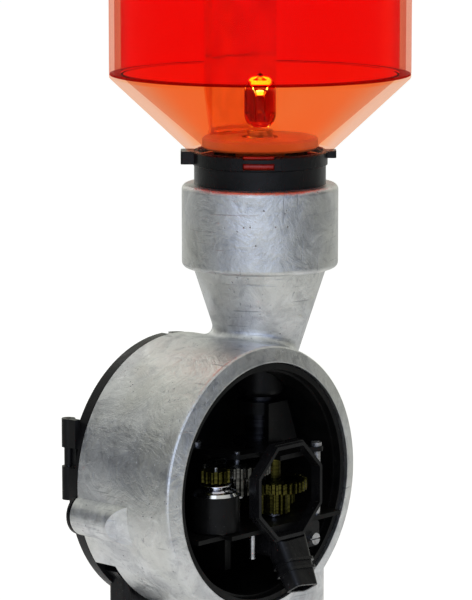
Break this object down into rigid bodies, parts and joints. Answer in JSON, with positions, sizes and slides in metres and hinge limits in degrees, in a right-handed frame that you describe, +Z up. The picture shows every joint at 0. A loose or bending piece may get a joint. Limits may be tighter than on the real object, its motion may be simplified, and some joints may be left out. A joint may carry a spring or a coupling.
{
  "type": "barrier warning beacon head",
  "caption": "Warning beacon head of a traffic barrier: red-orange lens with rotating reflector on a cast aluminium housing holding an open gear drive, rear door and pole socket.",
  "frame": {"origin": "centre of the pole socket mouth, on the lens axis", "axes": "+Z up along the lens axis, the round housing opens towards -Y, its centre lies towards -X"},
  "size_m": [0.168, 0.14, 0.3812],
  "materials": {
    "cast_aluminium": "die-cast, bead-blasted",
    "black_plastic": "moulded, satin",
    "ivory_plastic": "moulded, satin",
    "black_rubber": "matt",
    "lens_clear_orange": "moulded, clear light orange",
    "lens_outer_skin": "moulded, pale pink-clear",
    "lens_red_filter": "rolled, saturated red-orange",
    "seam_dark": "matt",
    "mirror": "polished",
    "steel": "bright",
    "polished_steel": "polished",
    "bronze": "oiled",
    "gear_brass": "greased, dull olive",
    "nickel_brass": "plated",
    "bulb_glass": "clear",
    "filament": "coiled",
    "black_steel": "painted"
  },
  "bodies": {
    "head": {"head_casting": "cast_aluminium", "grub_screws": "black_steel", "collar": "black_plastic", "collar_seal": "black_rubber", "upper_bush": "bronze", "bulb_post": "steel", "bulb_holder": "nickel_brass", "bulb_base": "nickel_brass", "bulb_glass": "bulb_glass", "filament": "filament", "second_axle": "steel", "first_axle": "steel", "axle_clips": "steel", "motor_can": "black_steel", "motor_end_bell": "polished_steel", "lower_bush": "bronze", "window_bezel": "black_plastic", "carrier": "black_plastic", "gear_plate": "black_steel", "plate_pillars": "steel", "plate_screws": "steel", "tube_bracket": "black_plastic", "neck_guide": "black_plastic", "ring_liner": "black_plastic", "connector_block": "black_plastic", "connector_shroud": "black_plastic", "connector_pins": "nickel_brass", "rear_gasket": "black_rubber", "rear_frame": "black_plastic", "frame_screws": "steel", "hinge_pin": "steel", "spout_grommet": "black_rubber"},
    "lens": {"lens_funnel": "lens_clear_orange", "seam_seal": "seam_dark", "lens_dome": "lens_outer_skin", "filter_sleeve": "lens_red_filter"},
    "reflector_unit": {"drive_tube": "black_steel", "turntable": "ivory_plastic", "reflector": "mirror", "reflector_screws": "steel", "output_gear": "gear_brass"},
    "second_gear": {"second_wheel": "gear_brass", "second_pinion": "gear_brass"},
    "first_gear": {"first_wheel": "polished_steel", "first_pinion": "steel"},
    "motor_rotor": {"motor_pinion": "gear_brass", "motor_shaft": "polished_steel"},
    "rear_door": {"rear_cover": "black_plastic", "cover_seal": "black_rubber", "cover_screw": "steel"}
  },
  "joints": [
    {"name": "reflector_spin", "type": "hinge", "parent": "head", "child": "reflector_unit", "pos_m": [0, 0, 0.2], "axis": [0, 0, 1], "continuous": true},
    {"name": "second_gear_spin", "type": "hinge", "parent": "head", "child": "second_gear", "pos_m": [-0.01202, -0.01961, 0.1], "axis": [0, 0, 1], "continuous": true},
    {"name": "first_gear_spin", "type": "hinge", "parent": "head", "child": "first_gear", "pos_m": [-0.03256, -0.01524, 0.105], "axis": [0, 0, 1], "continuous": true},
    {"name": "motor_spin", "type": "hinge", "parent": "head", "child": "motor_rotor", "pos_m": [-0.05284, -0.02068, 0.11], "axis": [0, 0, 1], "continuous": true},
    {"name": "lens_twist", "type": "hinge", "parent": "head", "child": "lens", "pos_m": [0, 0, 0.25], "axis": [0, 0, 1], "range_deg": [0, 26]},
    {"name": "rear_cover_hinge", "type": "hinge", "parent": "head", "child": "rear_door", "pos_m": [-0.0883, 0.0384, 0.105], "axis": [0, 0, 1], "range_deg": [0, 110]}
  ],
  "couplings": [
    {"joint": "second_gear_spin", "follows": "reflector_spin", "ratio": -2.2857},
    {"joint": "first_gear_spin", "follows": "reflector_spin", "ratio": 5.7143},
    {"joint": "motor_spin", "follows": "reflector_spin", "ratio": -14.286}
  ]
}
